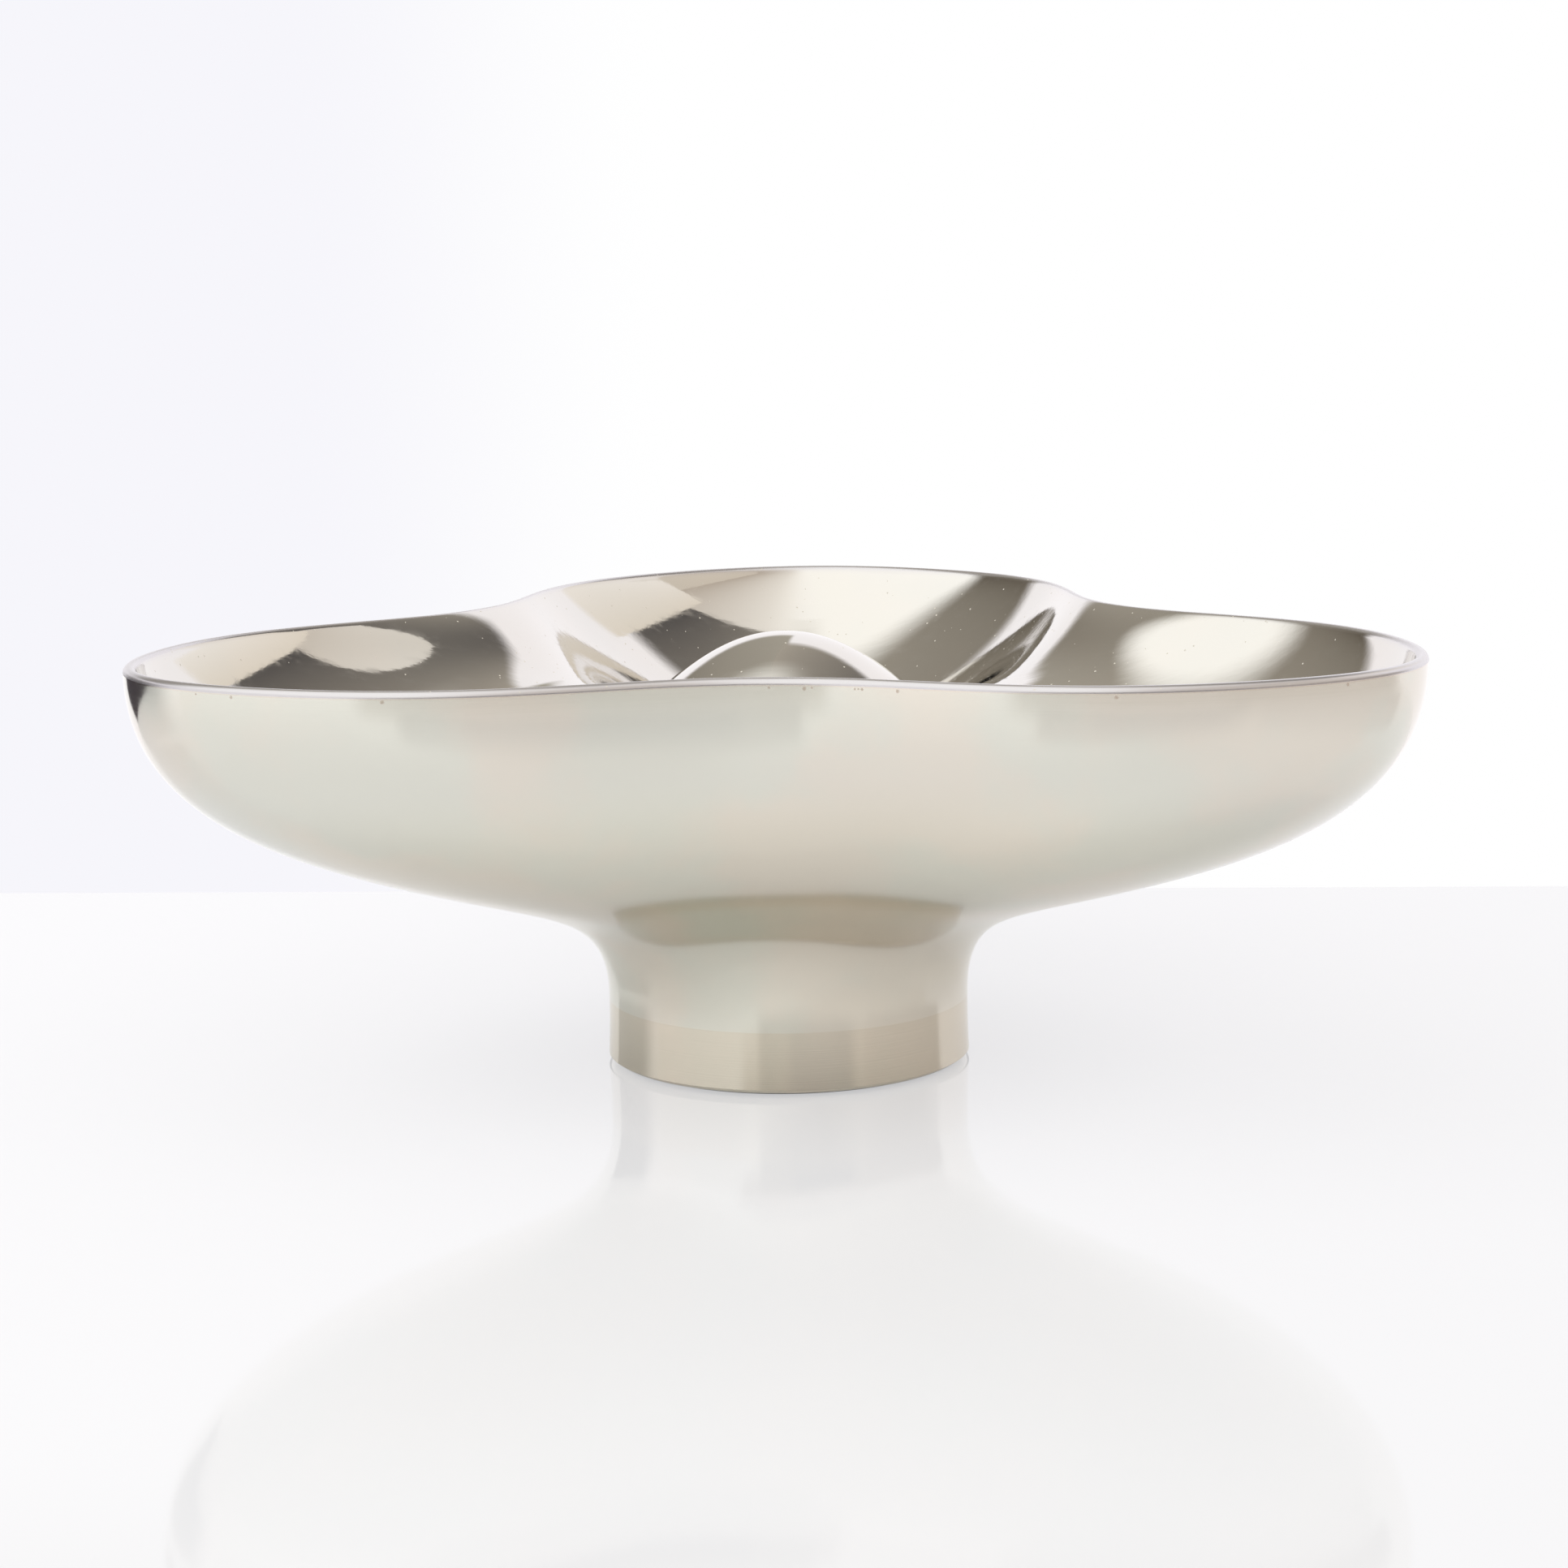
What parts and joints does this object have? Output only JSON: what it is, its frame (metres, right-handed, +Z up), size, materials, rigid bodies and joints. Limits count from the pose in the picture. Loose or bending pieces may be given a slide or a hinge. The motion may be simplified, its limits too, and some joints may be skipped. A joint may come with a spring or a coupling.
{
  "type": "footed bowl",
  "caption": "Wide footed bowl of double-walled steel with rounded lobes, ridged wells around a central dome, a rounded lip and a narrow waisted foot.",
  "frame": {"origin": "centre of the pad's underside, on the axis of the foot, at table level", "axes": "+Z up along the axis of the foot, +Y towards the tip of one lobe, +X to the right between the other two lobes"},
  "size_m": [0.2934, 0.275, 0.1055],
  "materials": {
    "polished_steel": "polished, with fine scratches and dust",
    "satin_steel": "satin, finely brushed around",
    "solder": "ground flush, with small rust spots",
    "weld": "ground flush and brushed",
    "plate_steel": "as rolled",
    "felt": "dark felt"
  },
  "bodies": {
    "root": {"inner_bowl": "polished_steel", "outer_bowl": "satin_steel", "rim_seam": "solder", "foot_ring": "satin_steel", "foot_seam": "weld", "base_plate": "plate_steel", "base_pad": "felt"}
  },
  "joints": []
}
